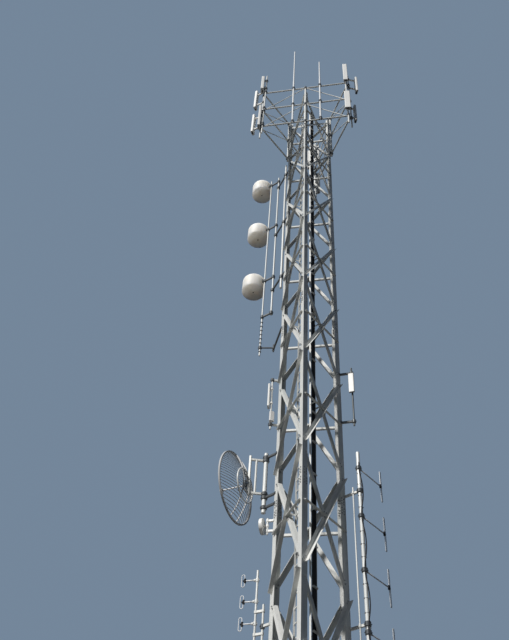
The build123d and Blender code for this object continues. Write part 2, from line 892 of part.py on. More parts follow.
# Grid dish
save("dish_mast", column(dish_mast_point(), *dish_mast_span, dish_mast_diameter))
mast_stop = (dish_mast_point(), dish_mast_diameter)
arms = [clamp_arm([mast_stop], level, left_leg) for level in dish_mast_arms]
save("dish_mast_arms", arms)
save("dish_grid_reflector", grid_reflector())
save("dish_back_frame", dish_back_frame())
save("dish_feed", dish_feed())

# Small covered dish
small_pipe = left_leg + heading(small_pipe_heading) * small_pipe_place
save("small_dish_mount", pipe_mount(left_leg, small_pipe, small_pipe_span, small_pipe_arms))
save("small_dish", small_dish(small_pipe))

# Dipole arrays
support = left_leg + heading(left_support_heading) * left_support_place
mast = left_leg + heading(left_dipole_mast_heading) * left_dipole_mast_place
mount = pipe_mount(left_leg, support, left_support_span, left_support_arms)
for level in left_dipole_mast_arms:
    mount.append(clamp_arm([(support, side_pipe_diameter), (mast, side_pipe_diameter)], level))
save("left_dipole_support", mount)
save("left_dipole_mast", column(mast, *left_dipole_mast_span, side_pipe_diameter))
dipoles = []
for level in left_dipole_levels:
    size = (left_dipole_boom, left_dipole_loop)
    dipoles.append(dipole(mast, side_pipe_diameter, left_dipole_heading, level, *size))
save("left_dipoles", dipoles)

support = right_leg + heading(right_mast_heading) * right_support_place
mast = right_leg + heading(right_mast_heading) * right_mast_place
mount = [column(support, *right_support_span, right_support_diameter)]
for level in right_mast_arms:
    stops = [(support, right_support_diameter), (mast, right_mast_diameter)]
    mount.append(clamp_arm(stops, level, right_leg))
save("right_dipole_support", mount)
save("right_dipole_mast", column(mast, *right_mast_span, right_mast_diameter))
dipoles = []
for level in right_dipole_levels:
    size = (right_dipole_boom, right_dipole_loop)
    dipoles.append(dipole(mast, right_mast_diameter, right_dipole_heading, level, *size))
save("right_dipoles", dipoles)
save("right_dipole_cable", mast_cable(mast))
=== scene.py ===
import bmesh
import bpy
from math import cos, pi, radians, sin, sqrt
from mathutils import Matrix, Vector


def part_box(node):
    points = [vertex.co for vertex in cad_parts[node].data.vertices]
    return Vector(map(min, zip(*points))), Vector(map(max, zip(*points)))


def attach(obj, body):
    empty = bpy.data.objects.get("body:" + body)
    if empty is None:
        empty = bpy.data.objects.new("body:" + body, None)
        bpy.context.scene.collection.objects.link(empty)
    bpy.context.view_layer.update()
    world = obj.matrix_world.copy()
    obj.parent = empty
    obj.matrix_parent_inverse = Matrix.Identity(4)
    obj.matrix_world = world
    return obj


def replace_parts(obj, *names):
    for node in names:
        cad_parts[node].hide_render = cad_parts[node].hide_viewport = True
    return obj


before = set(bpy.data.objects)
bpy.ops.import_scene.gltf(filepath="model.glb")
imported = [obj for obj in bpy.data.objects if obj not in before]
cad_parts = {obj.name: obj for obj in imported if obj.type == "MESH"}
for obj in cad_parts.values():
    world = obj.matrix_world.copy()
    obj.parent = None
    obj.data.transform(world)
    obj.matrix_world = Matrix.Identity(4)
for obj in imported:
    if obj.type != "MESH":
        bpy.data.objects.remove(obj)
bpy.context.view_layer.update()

# Tower sizes in metres, as in the model
FACE_WIDTH = 1.5
BAY_HEIGHT = 3.05
BAY_COUNT = 10
LEG_WIDTHS = [0.2, 0.2, 0.19, 0.175, 0.15]
ANGLE_WIDTHS = [0.1, 0.1, 0.09, 0.08, 0.07]
LEG_THICKNESS = 0.012
ANGLE_THICKNESS = 0.008
HEEL_OFFSET = 0.105
SPLICE_DROP = 0.9
FOOT_JOINT = 0.35
TOP_JOINT_DROP = 0.3
BRACE_RUN = 0.075
BRACE_EDGE = 0.01
BASE_THICKNESS = 0.032
ANCHOR_CIRCLE = 0.35
NEAR_LEG = Vector((0, 0, 0))
LEFT_LEG = Vector((-FACE_WIDTH / 2, FACE_WIDTH * sqrt(3) / 2, 0))
RIGHT_LEG = Vector((FACE_WIDTH / 2, FACE_WIDTH * sqrt(3) / 2, 0))
TOWER_AXIS = Vector((0, FACE_WIDTH / sqrt(3), 0))
LEGS = [NEAR_LEG, LEFT_LEG, RIGHT_LEG]
FACES = [(NEAR_LEG, LEFT_LEG), (LEFT_LEG, RIGHT_LEG), (RIGHT_LEG, NEAR_LEG)]
UP = Vector((0, 0, 1))
FIT = 0.0003

# Bolts: in from a diagonal's two kinds of end, from the crossing and on the struts, then at the splices
BOLT_SIZE = 0.02
OUTER_BOLTS = (0.025, 0.06)
INNER_BOLTS = (0, 0.035)
CROSSING_BOLT = 0.035
STRUT_BOLT = 0.01
SPLICE_FIRST_BOLT = 0.075
SPLICE_EDGE = 0.03
SPLICE_RISES = (-0.2, -0.13, -0.06, 0.06, 0.13, 0.2)

# Anchor hardware, as turned profiles of (distance along the axis, radius), and where its nuts sit
ANCHOR_WASHER = [(0, 0.028), (0.004, 0.028)]
ANCHOR_NUT = [(0, 0.023), (0.019, 0.023), (0.021, 0.02)]
ANCHOR_NUT_RISES = (0.004, 0.026)
ANCHOR_ROD = [(-0.03, 0.0135), (0.082, 0.0135), (0.086, 0.011)]

# Row of feeder cables and its hangers
CABLE_LADDER_PLACE = 0.52
CABLE_FACE = -0.1117
CABLE_COUNT = 5
CABLE_PITCH = 0.031
HANGER = [(0, 0.021), (0.03, 0.021), (0.037, 0.013)]
HANGER_INSET = 0.003
HANGER_BOTTOM = 1.6
HANGER_TOP_DROP = 1.0
HANGER_PITCH = 0.915

# Clamps and ties round pipes, as (height, wall), and their bolts
POST_CLAMP = (0.14, 0.026)
END_PIPE_CLAMP = (0.13, 0.026)
WHIP_CLAMP = (0.12, 0.022)
PANEL_CLAMP = (0.12, 0.028)
FM_LEG_CLAMP = (0.13, 0.026)
FM_MAST_CLAMP = (0.13, 0.028)
FM_FEED_CLAMP = (0.12, 0.026)
DISH_CLAMP = (0.09, 0.022)
ARM_CLAMP = (0.1, 0.024)
FEED_TIE = (0.035, 0.008)
MAST_TIE = (0.02, 0.004)
CLAMP_EDGE = 0.006
CLAMP_LUG = 0.004
CLAMP_SPLIT = 20
CLAMP_GRIP = 0.04
CLAMP_BOLT = 0.011

# Antenna head
FRAME_HALF_WIDTH = 1.7
FRAME_OFFSET = 0.15
BAR_LEVELS = [27.7, 29.15, 30.62]
BAR_DIAMETER = 0.0603
END_PIPE_INSET = 0.04
POST_DIAMETER = 0.073
WHIPS = [-0.49, 0.6]
WHIP_DIAMETER = 0.07
CAP_LIP = 0.002
CAP_EDGE = 0.004
CAP_DEPTH = 0.009
CAP_ROUNDING = 0.006

# Drum antennas, out from the left leg's heel and then from their mast
FM_HEADING = 124.7
FM_MAST_PLACE = 0.821
FM_FEED_HEADING = 155.0
FM_FEED_PLACE = 0.35
FM_FEED_DIAMETER = 0.0483
RADOME_PLACE = 0.8022
RADOME_RADIUS = 0.39
RADOME_HEIGHT = 0.645
RADOME_LEVELS = [20.99, 24.035, 27.08]
DRUM_CORE = 0.02
DRUM_FLAT = 0.2
DRUM_FOOT = 0.045
DRUM_RISE = 0.13
DRUM_REACH = 0.17
# Drain hole under each drum: a thin turned disc whose dark colour is painted shade inside the hole
DRAIN_HOLE_SHADE = [(0, 0.022), (0.006, 0.022), (0.009, 0.014)]
FEED_TIE_BOTTOM = 17.55
FEED_TIE_PITCH = 0.19
FEED_TIE_COUNT = 9

# Dipole arrays: mast place, mast diameter, levels, heading, boom length, loop height and width
RIGHT_DIPOLES = ((-19.0, 0.469), 0.0889, [8.29, 9.63, 10.95, 12.26], 58.0, 0.9, (0.88, 0.06))
LEFT_DIPOLES = ((154.0, 0.462), 0.0483, [8.2, 8.69, 9.18, 9.67], 176.0, 0.28, (0.29, 0.085))
BOOM_DIAMETER = 0.03
LOOP_TUBE_RADIUS = 0.009
LOOP_INSET = 0.016
LOOP_END_STEPS = 8
JOINT_BODY = [(-0.05, 0.02), (-0.044, 0.026), (0.044, 0.026), (0.05, 0.02)]
JOINT_NECK = [(0, 0.022), (0.05, 0.022), (0.056, 0.016)]
JOINT_SETBACK = 0.01
DIPOLE_CLAMP_HEIGHT = 0.095
DIPOLE_CLAMP_SHARE = 0.26
CLASP = [(0, 0.03), (0.05, 0.03), (0.06, 0.022)]

# Right mast's cable: its mean heading and swing round the mast, size, distance off and ties
COAX_HEADING = -45
COAX_SWING = 35
COAX_RADIUS = 0.013
COAX_REACH = 0.021
COAX_TUCK = 0.008
COAX_STEPS = 90
MAST_TIE_START = 0.2
MAST_TIE_PITCH = 0.31

# Grid dish
DISH_MAST = (149.0, 0.43)
DISH_MAST_DIAMETER = 0.108
DISH_MAST_LEVELS = [11.52, 11.8, 11.91, 12.9, 12.99]
DISH_HEADING = 165.0
DISH_LEVEL = 12.14
DISH_REACH = 0.41
DISH_SIDE = 0.2
HUB_RING_RADIUS = 0.43
HUB_RING_BACK = 0.03
HUB_RING_STEPS = 48
HUB_TUBE_RADIUS = 0.02
HUB_PLATE = [(-0.1, 0.045), (-0.03, 0.045), (-0.03, 0.13), (-0.016, 0.13), (-0.012, 0.126)]
HUB_BOLT_COUNT = 8
HUB_BOLT_CIRCLE_RADIUS = 0.1
HUB_BOLT_BACK = 0.03
HUB_BOLT_GRIP = 0.02
HUB_BOLT_SIZE = 0.014

# Clamps on the other pipes: leg, heading and place, pipe diameter and levels
PIPE_CLAMPS = [
    (RIGHT_LEG, -19.0, 0.469, 0.0889, [8.46, 11.62]),
    (LEFT_LEG, 180.0, 0.27, 0.0483, [13.9, 15.48]),
    (RIGHT_LEG, 4.0, 0.401, 0.0483, [13.86, 15.56]),
    (LEFT_LEG, 148.0, 0.287, 0.0483, [7.95, 8.6]),
]
FM_LEG_PLACE = 0.182
FM_LEG_DIAMETER = 0.0761
FM_MAST_DIAMETER = 0.0603
STANDOFF_LEVELS = [20.285, 23.41, 26.63]
FM_LOW_ARM = 19.15
FM_LINK = 17.725

# Head panels: leg, frame end, heading, arm, bottom level and length, width, depth
PANEL_CLAMP_SHARE = 0.18
PLUG_STEPS = (-1.5, -0.5, 0.5, 1.5)
PLUG_SPACES = 5
PLUG = [(0, 0.017), (0.012, 0.017), (0.014, 0.012), (0.045, 0.012)]
HEAD_PANELS = [
    (NEAR_LEG, -1, 190, 0.06, 30.72, (1.15, 0.26, 0.13)),
    (NEAR_LEG, -1, 190, 0.06, 27.52, (1.65, 0.24, 0.10)),
    (LEFT_LEG, 1, 165, 0.26, 29.75, (1.48, 0.20, 0.11)),
    (LEFT_LEG, 1, 165, 0.26, 27.65, (1.40, 0.20, 0.10)),
    (NEAR_LEG, 1, -85, 0.06, 30.42, (1.50, 0.18, 0.11)),
    (NEAR_LEG, 1, -85, 0.06, 27.93, (1.40, 0.22, 0.11)),
    (RIGHT_LEG, -1, 20, 0.26, 30.15, (1.25, 0.20, 0.09)),
    (RIGHT_LEG, -1, 20, 0.09, 27.55, (1.20, 0.18, 0.09)),
    (RIGHT_LEG, 1, 75, 0.06, 29.90, (1.45, 0.24, 0.12)),
    (RIGHT_LEG, 1, 75, 0.06, 27.50, (1.45, 0.24, 0.12)),
    (LEFT_LEG, -1, 105, 0.06, 29.50, (1.45, 0.24, 0.12)),
]

# Camera, at an assumed eye height in front of the tower and looking steeply up
CAMERA_PLACE = Vector((1.607, -13.259, 1.6))
CAMERA_AZIMUTH = -12.69
CAMERA_PITCH = 47.79
CAMERA_ROLL = 4.75
FOCAL_PIXELS = 730.6
LONG_SIDE_PIXELS = 640
SENSOR = 36.0
VIEW_REACH = 500

# Floor, as seen and as it throws light back
FLOOR_COLOR = (0.74, 0.74, 0.73)
FLOOR_BOUNCE = (0.012, 0.012, 0.012)
FLOOR_RADIUS = 220
FLOOR_DROP = 0.003

# Sun, the dim sky that only lights, from below to above, and the plain sky that is seen
SUN_ENERGY = 3.9
SUN_SPREAD = 3
SUN_COLOR = (1.0, 0.98, 0.95)
SUN_PLACE = Vector((-0.44, -0.627, 0.643))
SKY_LIGHT = [(0.35, (0.004, 0.005, 0.006)), (0.55, (0.018, 0.022, 0.030)), (1.0, (0.09, 0.11, 0.145))]
BACKGROUND = (0.175, 0.240, 0.325, 1)


# Materials


def new_material(name, color, roughness, metallic=0.0):
    """Principled material and the handles that its detail is linked to."""
    material = bpy.data.materials.new(name)
    material.use_nodes = True
    nodes = material.node_tree.nodes
    shader = nodes["Principled BSDF"]
    shader.inputs["Base Color"].default_value = (*color, 1)
    shader.inputs["Roughness"].default_value = roughness
    shader.inputs["Metallic"].default_value = metallic
    return material, nodes, material.node_tree.links, shader


def noise(nodes, links, scale, detail=4.0, stretch=(1, 1, 1)):
    """Noise in the object's own metres, stretched along an axis where asked."""
    place = nodes.new("ShaderNodeTexCoord")
    mapping = nodes.new("ShaderNodeMapping")
    mapping.inputs["Scale"].default_value = stretch
    texture = nodes.new("ShaderNodeTexNoise")
    texture.inputs["Scale"].default_value = scale
    texture.inputs["Detail"].default_value = detail
    links.new(place.outputs["Object"], mapping.inputs["Vector"])
    links.new(mapping.outputs["Vector"], texture.inputs["Vector"])
    return texture.outputs["Fac"]


def ramp(nodes, links, value, stops):
    """Colour ramp over a value; stops are (position, colour)."""
    node = nodes.new("ShaderNodeValToRGB")
    links.new(value, node.inputs["Fac"])
    elements = node.color_ramp.elements
    while len(elements) < len(stops):
        elements.new(0.5)
    for element, (position, color) in zip(elements, stops):
        element.position = position
        element.color = (*color, 1)
    return node.outputs["Color"]


def multiply(nodes, links, first, second):
    """One colour multiplied by another."""
    node = nodes.new("ShaderNodeMix")
    node.data_type = "RGBA"
    node.blend_type = "MULTIPLY"
    node.inputs["Factor"].default_value = 1.0
    links.new(first, node.inputs["A"])
    links.new(second, node.inputs["B"])
    return node.outputs["Result"]


def bump(nodes, links, shader, height, strength, distance):
    """Fine relief from a height value."""
    node = nodes.new("ShaderNodeBump")
    node.inputs["Strength"].default_value = strength
    node.inputs["Distance"].default_value = distance
    links.new(height, node.inputs["Height"])
    links.new(node.outputs["Normal"], shader.inputs["Normal"])


def galvanised(name, light, dark, roughness=0.5, metallic=0.05):
    """Weathered zinc: crystals, cloudy patches and faint streaks down the steel."""
    material, nodes, links, shader = new_material(name, light, roughness, metallic)
    place = nodes.new("ShaderNodeTexCoord")
    crystals = nodes.new("ShaderNodeTexVoronoi")
    crystals.inputs["Scale"].default_value = 55.0
    links.new(place.outputs["Object"], crystals.inputs["Vector"])
    patches = noise(nodes, links, 1.4, 5.0, (1, 1, 0.35))
    streaks = noise(nodes, links, 22.0, 3.0, (1, 1, 0.03))
    base = ramp(nodes, links, patches, [(0.3, dark), (0.7, light)])
    spangle = ramp(nodes, links, crystals.outputs["Color"], [(0.0, (0.9,) * 3), (1.0, (1.06,) * 3)])
    runs = ramp(nodes, links, streaks, [(0.35, (0.93,) * 3), (0.65, (1.0,) * 3)])
    color = multiply(nodes, links, base, spangle)
    color = multiply(nodes, links, color, runs)
    links.new(color, shader.inputs["Base Color"])
    rough = ramp(nodes, links, patches, [(0.3, (roughness + 0.1,) * 3), (0.7, (roughness - 0.06,) * 3)])
    links.new(rough, shader.inputs["Roughness"])
    bump(nodes, links, shader, crystals.outputs["Distance"], 0.15, 0.001)
    return material


def shell(name, light, stain, roughness=0.4, glow=0.0):
    """Weathered glass-fibre or plastic cover with soft stains and rain streaks; glow is how far
    light spreads inside a thin translucent wall, in metres."""
    material, nodes, links, shader = new_material(name, light, roughness)
    if glow:
        shader.inputs["Subsurface Weight"].default_value = 1.0
        shader.inputs["Subsurface Radius"].default_value = (1.0, 0.94, 0.86)
        shader.inputs["Subsurface Scale"].default_value = glow
    clouds = noise(nodes, links, 3.0, 5.0)
    streaks = noise(nodes, links, 14.0, 3.0, (1, 1, 0.08))
    base = ramp(nodes, links, clouds, [(0.42, light), (0.78, stain)])
    runs = ramp(nodes, links, streaks, [(0.3, (0.93,) * 3), (0.6, (1.0,) * 3)])
    links.new(multiply(nodes, links, base, runs), shader.inputs["Base Color"])
    grain = noise(nodes, links, 90.0, 2.0)
    bump(nodes, links, shader, grain, 0.1, 0.001)
    return material


def jacket(name, color, roughness=0.7):
    """Cable jacket or rubber with a faint dusty mottling."""
    material, nodes, links, shader = new_material(name, color, roughness)
    shader.inputs["Specular IOR Level"].default_value = 0.2
    dust = noise(nodes, links, 12.0, 4.0, (1, 1, 0.2))
    pale = tuple(channel * 1.6 + 0.004 for channel in color)
    links.new(ramp(nodes, links, dust, [(0.4, color), (0.8, pale)]), shader.inputs["Base Color"])
    bump(nodes, links, shader, noise(nodes, links, 150.0, 2.0), 0.1, 0.0005)
    return material


STEEL = galvanised("galvanised_steel", (0.87, 0.87, 0.84), (0.66, 0.68, 0.66))
PIPE = galvanised("galvanised_pipe", (0.86, 0.87, 0.85), (0.66, 0.68, 0.67), 0.42)
CLAMP = galvanised("clamp_steel", (0.09, 0.10, 0.105), (0.045, 0.05, 0.055), 0.5, 0.2)
BOLT = galvanised("bolt_zinc", (0.42, 0.43, 0.44), (0.24, 0.25, 0.26), 0.4, 0.5)
ALUMINIUM = galvanised("weathered_aluminium", (0.86, 0.87, 0.88), (0.74, 0.76, 0.78))
DISH_WIRE = galvanised("dish_wire", (0.58, 0.59, 0.60), (0.44, 0.45, 0.46), 0.65, 0.0)
RADOME = shell("radome_glass_fibre", (0.88, 0.855, 0.81), (0.79, 0.73, 0.64), 0.55, glow=0.7)
PANEL = shell("panel_plastic", (0.89, 0.89, 0.87), (0.80, 0.80, 0.77), 0.45)
UNIT = shell("unit_paint", (0.80, 0.80, 0.79), (0.62, 0.62, 0.61), 0.5)
CABLE = jacket("cable_jacket", (0.014, 0.014, 0.016))


def dress(material, name):
    """Give a CAD node a material."""
    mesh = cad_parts[name].data
    mesh.materials.clear()
    mesh.materials.append(material)


def dress_nodes():
    """A material for every CAD node."""
    pipes = ("end_pipes", "fm_leg_pipe", "fm_mast", "fm_feed_pole", "dish_mast", "left_dipole_mast")
    pipes += ("right_dipole_mast", "left_panel_mount", "small_dish_mount")
    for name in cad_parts:
        if name.startswith("fm_radome"):
            dress(RADOME, name)
        elif name.startswith("panels") or name in ("left_panel", "right_panel", "small_dish"):
            dress(PANEL, name)
        elif name in ("feeder_cables", "right_dipole_cable"):
            dress(CABLE, name)
        elif name in ("fm_brackets", "dish_mast_arms", "right_panel_mount"):
            dress(CLAMP, name)
        elif name == "left_radio_unit":
            dress(UNIT, name)
        elif name == "dish_grid_reflector":
            dress(DISH_WIRE, name)
        elif name in ("left_dipoles", "right_dipoles", "dish_feed", "whip_rods"):
            dress(ALUMINIUM, name)
        elif name in pipes:
            dress(PIPE, name)
        else:
            dress(STEEL, name)


# Details


def new_piece(name, mesh, material):
    """Object from a finished bmesh, riding on the tower."""
    data = bpy.data.meshes.new(name)
    mesh.normal_update()
    mesh.to_mesh(data)
    mesh.free()
    data.materials.append(material)
    piece = bpy.data.objects.new(name, data)
    bpy.context.collection.objects.link(piece)
    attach(piece, "root")
    return piece


def turn(mesh, origin, axis, profile, sides):
    """Add a closed turned shape: profile holds (distance along the axis, radius)."""
    axis = axis.normalized()
    across = axis.orthogonal().normalized()
    other = axis.cross(across)
    rings = []
    for along, radius in profile:
        ring = []
        for step in range(sides):
            angle = 2 * pi * step / sides
            spoke = across * cos(angle) + other * sin(angle)
            ring.append(mesh.verts.new(origin + axis * along + spoke * radius))
        rings.append(ring)
    for low, high in zip(rings[:-1], rings[1:]):
        for step in range(sides):
            after = (step + 1) % sides
            mesh.faces.new((low[step], low[after], high[after], high[step]))
    mesh.faces.new(list(reversed(rings[0])))
    mesh.faces.new(rings[-1])


def bolt(mesh, seat, axis, grip, size=BOLT_SIZE):
    """Hexagon bolt: washer and head on the seat, nut and thread end behind the grip. Its other
    measures are shares of its size."""
    head = 0.64 * size
    wide = 0.9 * size
    turn(mesh, seat, axis, [(0, size), (0.16 * size, size)], 12)
    crown = [(0.16 * size, wide), (head, wide), (head + 0.1 * size, 0.75 * wide)]
    turn(mesh, seat, axis, crown, 6)
    back = seat - axis.normalized() * grip
    nut = [(0, wide), (0.8 * size, wide), (0.9 * size, 0.8 * wide)]
    turn(mesh, back, -axis, nut, 6)
    turn(mesh, back, -axis, [(0.9 * size, size / 2), (1.3 * size, size / 2)], 8)


def outward(leg):
    """Horizontal direction from the tower's axis through a leg."""
    return (leg - TOWER_AXIS).normalized()


def turned(direction, angle):
    """A horizontal direction turned about the vertical, in degrees."""
    return Matrix.Rotation(radians(angle), 3, "Z") @ direction


def heel(leg):
    """Plan point of the outer edge of a leg's angle."""
    return leg + outward(leg) * HEEL_OFFSET


def section_tops():
    """Heights of the joints between leg sections."""
    return [index * 2 * BAY_HEIGHT - SPLICE_DROP for index in range(1, len(LEG_WIDTHS))]


def section_at(height):
    """Index of the leg section that covers a height."""
    return sum(height >= level for level in section_tops())


def joint_level(index):
    """Height of a bracing joint, counted from the foot."""
    if index == 0:
        return FOOT_JOINT
    if index == BAY_COUNT:
        return BAY_COUNT * BAY_HEIGHT - TOP_JOINT_DROP
    return index * BAY_HEIGHT


def brace_level(low, high, x):
    """Height at x of the diagonal that falls from the first leg's heel to the second's."""
    return high - (x + BRACE_RUN) / (FACE_WIDTH + 2 * BRACE_RUN) * (high - low)


def face_point(face, x, y, z):
    """Point from a place along a face, outward from mid flange, and up."""
    first, second = face
    along = (second - first).normalized()
    outside = UP.cross(along)
    return first + along * x + outside * (HEEL_OFFSET / 2 - LEG_THICKNESS / 2 + y) + UP * z


def brace_bolts():
    """Bolts where the bracing meets the legs and crosses at its centre plates."""
    mesh = bmesh.new()
    seat = LEG_THICKNESS / 2 + ANGLE_THICKNESS
    grip = LEG_THICKNESS + ANGLE_THICKNESS
    past = HEEL_OFFSET * sqrt(3) / 2
    for face in FACES:
        outside = UP.cross((face[1] - face[0]).normalized())
        for index in range(BAY_COUNT):
            low, high = joint_level(index), joint_level(index + 1)
            middle = (low + high) / 2
            width = ANGLE_WIDTHS[section_at(middle)]
            outer = width / 2 + BRACE_EDGE - past
            inner = (3 * LEG_THICKNESS + width) / sqrt(3) + width / 2 + BRACE_EDGE - past
            places = [outer + step for step in OUTER_BOLTS] + [FACE_WIDTH / 2 - CROSSING_BOLT]
            for x in places + [FACE_WIDTH - place for place in places]:
                bolt(mesh, face_point(face, x, seat, brace_level(low, high, x)), outside, grip)
            places = [inner + step for step in INNER_BOLTS] + [FACE_WIDTH / 2 - CROSSING_BOLT]
            for x in places + [FACE_WIDTH - place for place in places]:
                z = brace_level(low, high, FACE_WIDTH - x)
                bolt(mesh, face_point(face, x, -seat, z), -outside, grip)
            for x in (STRUT_BOLT, FACE_WIDTH - STRUT_BOLT):
                bolt(mesh, face_point(face, x, seat, middle), outside, grip)
    new_piece("brace_bolts", mesh, BOLT)


def splice_bolts():
    """Two rows of bolts through each flange and splice plate where leg sections meet."""
    mesh = bmesh.new()
    for leg in LEGS:
        for number, level in enumerate(section_tops()):
            width = LEG_WIDTHS[number + 1]
            for side in (1, -1):
                along = turned(outward(leg), side * 150)
                inward = turned(outward(leg), side * 240)
                for place in (SPLICE_FIRST_BOLT, width - SPLICE_EDGE):
                    for rise in SPLICE_RISES:
                        seat = heel(leg) + along * place + UP * (level + rise)
                        bolt(mesh, seat, -inward, 2 * LEG_THICKNESS)
    new_piece("splice_bolts", mesh, BOLT)


def anchor_bolts():
    """Anchor rods with washers and double nuts on the base plates."""
    mesh = bmesh.new()
    for leg in LEGS:
        for quarter in range(4):
            angle = radians(45 + 90 * quarter)
            spoke = Vector((cos(angle), sin(angle), 0)) * (ANCHOR_CIRCLE / 2)
            seat = leg + spoke + UP * BASE_THICKNESS
            turn(mesh, seat, UP, ANCHOR_WASHER, 16)
            for low in ANCHOR_NUT_RISES:
                turn(mesh, seat, UP, [(low + along, radius) for along, radius in ANCHOR_NUT], 6)
            turn(mesh, seat, UP, ANCHOR_ROD, 12)
    new_piece("anchor_bolts", mesh, BOLT)


def heading(angle):
    """Horizontal direction at an angle from +X, in degrees."""
    return Vector((cos(radians(angle)), sin(radians(angle)), 0))


def smooth(piece):
    """Smooth shading on every face of a piece."""
    for polygon in piece.data.polygons:
        polygon.use_smooth = True
    return piece


def sweep(mesh, points, radius, sides=10, closed=False):
    """Add a round tube along points, joined end to end or with flat ends."""
    count = len(points)
    rings = []
    across = None
    for index, point in enumerate(points):
        before = points[index - 1] if index or closed else point
        after = points[(index + 1) % count] if index < count - 1 or closed else point
        along = (after - before).normalized()
        across = along.orthogonal() if across is None else across - along * across.dot(along)
        across.normalize()
        other = along.cross(across)
        angles = [2 * pi * step / sides for step in range(sides)]
        rings.append([mesh.verts.new(point + (across * cos(a) + other * sin(a)) * radius) for a in angles])
    pairs = list(zip(rings[:-1], rings[1:]))
    if closed:
        pairs.append((rings[-1], rings[0]))
    for low, high in pairs:
        for step in range(sides):
            after = (step + 1) % sides
            mesh.faces.new((low[step], low[after], high[after], high[step]))
    if not closed:
        mesh.faces.new(list(reversed(rings[0])))
        mesh.faces.new(rings[-1])


def collar(mesh, place, level, diameter, height, wall):
    """Split clamp round an upright pipe, with a bolt on each side."""
    low = -height / 2
    outer = diameter / 2 + wall
    edge = CLAMP_EDGE
    profile = [(low, outer - edge), (low + edge, outer), (-low - edge, outer), (-low, outer - edge)]
    centre = Vector((place.x, place.y, level))
    turn(mesh, centre, UP, profile, 20)
    through = heading(CLAMP_SPLIT + 90)
    for side in (1, -1):
        seat = centre + heading(CLAMP_SPLIT) * (side * (outer + CLAMP_LUG)) + through * (CLAMP_GRIP / 2)
        bolt(mesh, seat, through, CLAMP_GRIP, CLAMP_BOLT)


def frame_point(leg, along, out=0.0):
    """Plan point on a sector frame, along its bars and out from them."""
    return leg + outward(leg) * (FRAME_OFFSET + out) + turned(outward(leg), 90) * along


def head_collars():
    """Clamps where the posts, end pipes and whip rods cross the bars of the sector frames."""
    mesh = bmesh.new()
    out = BAR_DIAMETER + FIT
    for level in BAR_LEVELS:
        for leg in LEGS:
            collar(mesh, frame_point(leg, 0), level, POST_DIAMETER, *POST_CLAMP)
            for side in (-1, 1):
                place = frame_point(leg, side * (FRAME_HALF_WIDTH - END_PIPE_INSET), out)
                collar(mesh, place, level, BAR_DIAMETER, *END_PIPE_CLAMP)
        for along in WHIPS:
            place = frame_point(NEAR_LEG, along, BAR_DIAMETER / 2 + WHIP_DIAMETER / 2)
            collar(mesh, place, level, WHIP_DIAMETER, *WHIP_CLAMP)
    new_piece("head_clamps", mesh, CLAMP)


def bar_caps():
    """Plastic caps in the open ends of the sector frames' bars."""
    mesh = bmesh.new()
    radius = BAR_DIAMETER / 2
    lip = radius + CAP_LIP
    profile = [(0, lip), (CAP_EDGE, lip), (CAP_DEPTH, radius - CAP_ROUNDING)]
    for leg in LEGS:
        for level in BAR_LEVELS:
            for side in (-1, 1):
                end = frame_point(leg, side * FRAME_HALF_WIDTH) + UP * level
                axis = turned(outward(leg), 90 * side)
                turn(mesh, end, axis, profile, 16)
    new_piece("bar_caps", mesh, CABLE)


def drum_profile():
    """Turned outline of a drum cover, rounded at its foot and more at its shoulder."""
    low = -RADOME_HEIGHT / 2
    top = RADOME_HEIGHT / 2
    profile = [(low, DRUM_CORE), (low, DRUM_FLAT)]
    for degree in range(0, 91, 15):
        fall = DRUM_FOOT * cos(radians(degree))
        out = DRUM_FOOT * sin(radians(degree))
        profile.append((low + DRUM_FOOT - fall, RADOME_RADIUS - DRUM_FOOT + out))
    for degree in range(0, 91, 10):
        climb = DRUM_RISE * sin(radians(degree))
        out = DRUM_REACH * cos(radians(degree))
        profile.append((top - DRUM_RISE + climb, RADOME_RADIUS - DRUM_REACH + out))
    profile.append((top, DRUM_CORE))
    return profile


def fm_mast():
    """Plan point of the drum antennas' mast."""
    return heel(LEFT_LEG) + heading(FM_HEADING) * FM_MAST_PLACE


def drum_covers():
    """Rounded drum covers over their plain solids."""
    axis = fm_mast() + heading(FM_FEED_HEADING) * RADOME_PLACE
    for number, level in enumerate(RADOME_LEVELS):
        mesh = bmesh.new()
        turn(mesh, axis + UP * level, UP, drum_profile(), 64)
        piece = smooth(new_piece(f"drum_cover_{number + 1}", mesh, RADOME))
        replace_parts(piece, f"fm_radome_{number + 1}")


def drain_hole_shades():
    """Small dark disc at the drain hole in the flat bottom of each drum cover; its black is painted shade
    inside the hole.
    """
    mesh = bmesh.new()
    axis = fm_mast() + heading(FM_FEED_HEADING) * RADOME_PLACE
    for level in RADOME_LEVELS:
        seat = axis + UP * (level - RADOME_HEIGHT / 2)
        # dark disc as painted shade of the drain hole
        turn(mesh, seat, -UP, DRAIN_HOLE_SHADE, 16)
    new_piece("drain_hole_shades", mesh, CABLE)


def feed_ties():
    """Straps round the feed pole below the lowest drum."""
    mesh = bmesh.new()
    pole = fm_mast() + heading(FM_FEED_HEADING) * FM_FEED_PLACE
    for step in range(FEED_TIE_COUNT):
        collar(mesh, pole, FEED_TIE_BOTTOM + FEED_TIE_PITCH * step, FM_FEED_DIAMETER, *FEED_TIE)
    new_piece("feed_ties", mesh, CABLE)


def slot_path(centre, along, height, width):
    """Closed path round an upright loop with half-round ends."""
    radius = width / 2
    rise = height / 2 - radius
    points = []
    for sign in (1, -1):
        for step in range(LOOP_END_STEPS + 1):
            angle = pi * step / LOOP_END_STEPS
            side = along * (cos(angle) * radius * sign)
            points.append(centre + side + UP * (sign * (rise + sin(angle) * radius)))
    return points


